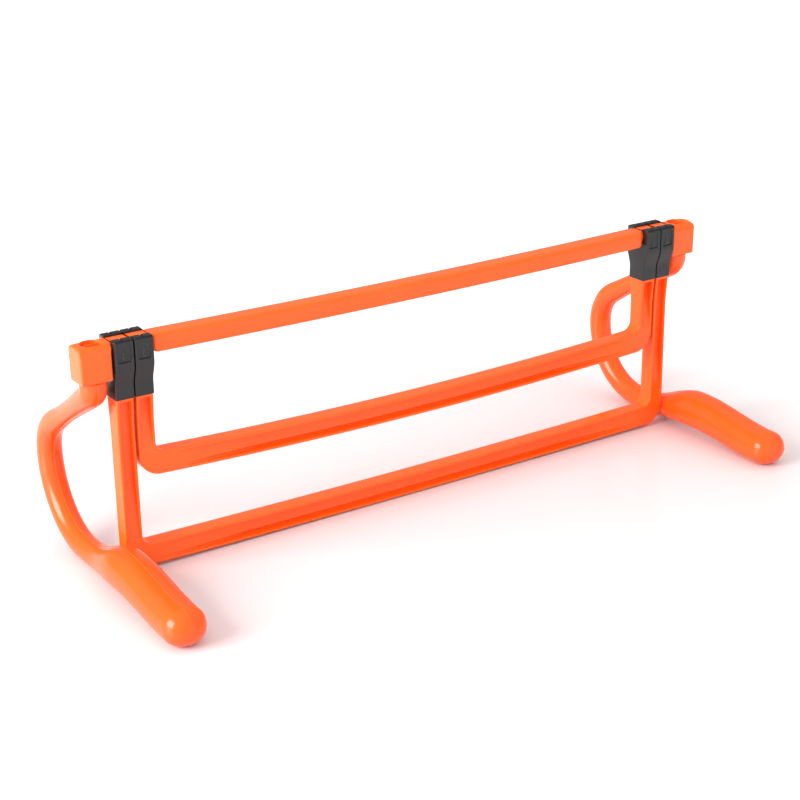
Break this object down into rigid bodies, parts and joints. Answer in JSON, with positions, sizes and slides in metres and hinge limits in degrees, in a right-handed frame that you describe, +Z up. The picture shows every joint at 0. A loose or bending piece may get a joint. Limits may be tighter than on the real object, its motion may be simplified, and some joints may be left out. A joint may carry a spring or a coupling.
{
  "type": "adjustable mini hurdle",
  "caption": "Low free-standing training hurdle: a bar on curved feet with a large and a small U frame clipped under it that swing up to raise the height.",
  "frame": {"origin": "on the floor, under the middle of the whole object's footprint", "axes": "+X along the crossbar, -Y the side that the feet point to, +Z up"},
  "size_m": [0.4756, 0.2004, 0.1512],
  "materials": {
    "bar_orange": "satin gloss injection moulding",
    "leg_orange": "satin gloss injection moulding with a parting line",
    "frame_orange": "satin gloss injection moulding",
    "clip_black": "satin black injection moulding"
  },
  "bodies": {
    "bar_body": {"crossbar": "bar_orange"},
    "left_leg_body": {"left_leg": "leg_orange"},
    "right_leg_body": {"right_leg": "leg_orange"},
    "large_frame_body": {"large_frame": "frame_orange", "large_frame_clip_left": "clip_black", "large_frame_clip_right": "clip_black"},
    "small_frame_body": {"small_frame": "frame_orange", "small_frame_clip_left": "clip_black", "small_frame_clip_right": "clip_black"}
  },
  "joints": [
    {"name": "large_frame_swing", "type": "hinge", "parent": "bar_body", "child": "large_frame_body", "pos_m": [0, 0.01375, 0.1456], "axis": [1, 0, 0], "range_deg": [0, 180]},
    {"name": "small_frame_swing", "type": "hinge", "parent": "bar_body", "child": "small_frame_body", "pos_m": [0, 0.01375, 0.1456], "axis": [1, 0, 0], "range_deg": [-180, 180]},
    {"name": "left_leg_swivel", "type": "hinge", "parent": "bar_body", "child": "left_leg_body", "pos_m": [-0.2245, 0.01375, 0.1275], "axis": [0, 0, 1], "range_deg": [-2, 2]},
    {"name": "right_leg_swivel", "type": "hinge", "parent": "bar_body", "child": "right_leg_body", "pos_m": [0.2245, 0.01375, 0.1275], "axis": [0, 0, 1], "range_deg": [-2, 2]}
  ]
}
